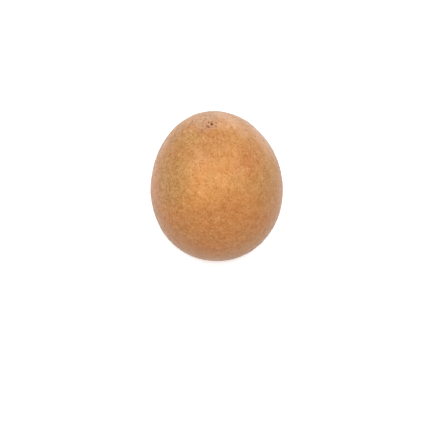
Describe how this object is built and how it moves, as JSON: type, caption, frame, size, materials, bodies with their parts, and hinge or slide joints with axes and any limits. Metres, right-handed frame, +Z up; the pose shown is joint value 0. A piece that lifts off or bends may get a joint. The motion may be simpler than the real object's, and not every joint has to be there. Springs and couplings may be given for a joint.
{
  "type": "sapodilla",
  "caption": "Whole ripe sapodilla: an egg-shaped fruit with thin, rough, matt brown skin, standing on its hollowed stem end with the dry style stub at its narrower top.",
  "frame": {"origin": "middle of the fruit's box, at the height of the flat ring that it rests on", "axes": "+Z up along the fruit's core from the stem end to the blossom end, -Y towards the viewer of the picture, +X to that viewer's right"},
  "size_m": [0.0602, 0.06, 0.0733],
  "materials": {
    "skin": "matt and rough, with a fine scurf of darker and paler brown"
  },
  "bodies": {
    "root": {"sapodilla": "skin"}
  },
  "joints": []
}
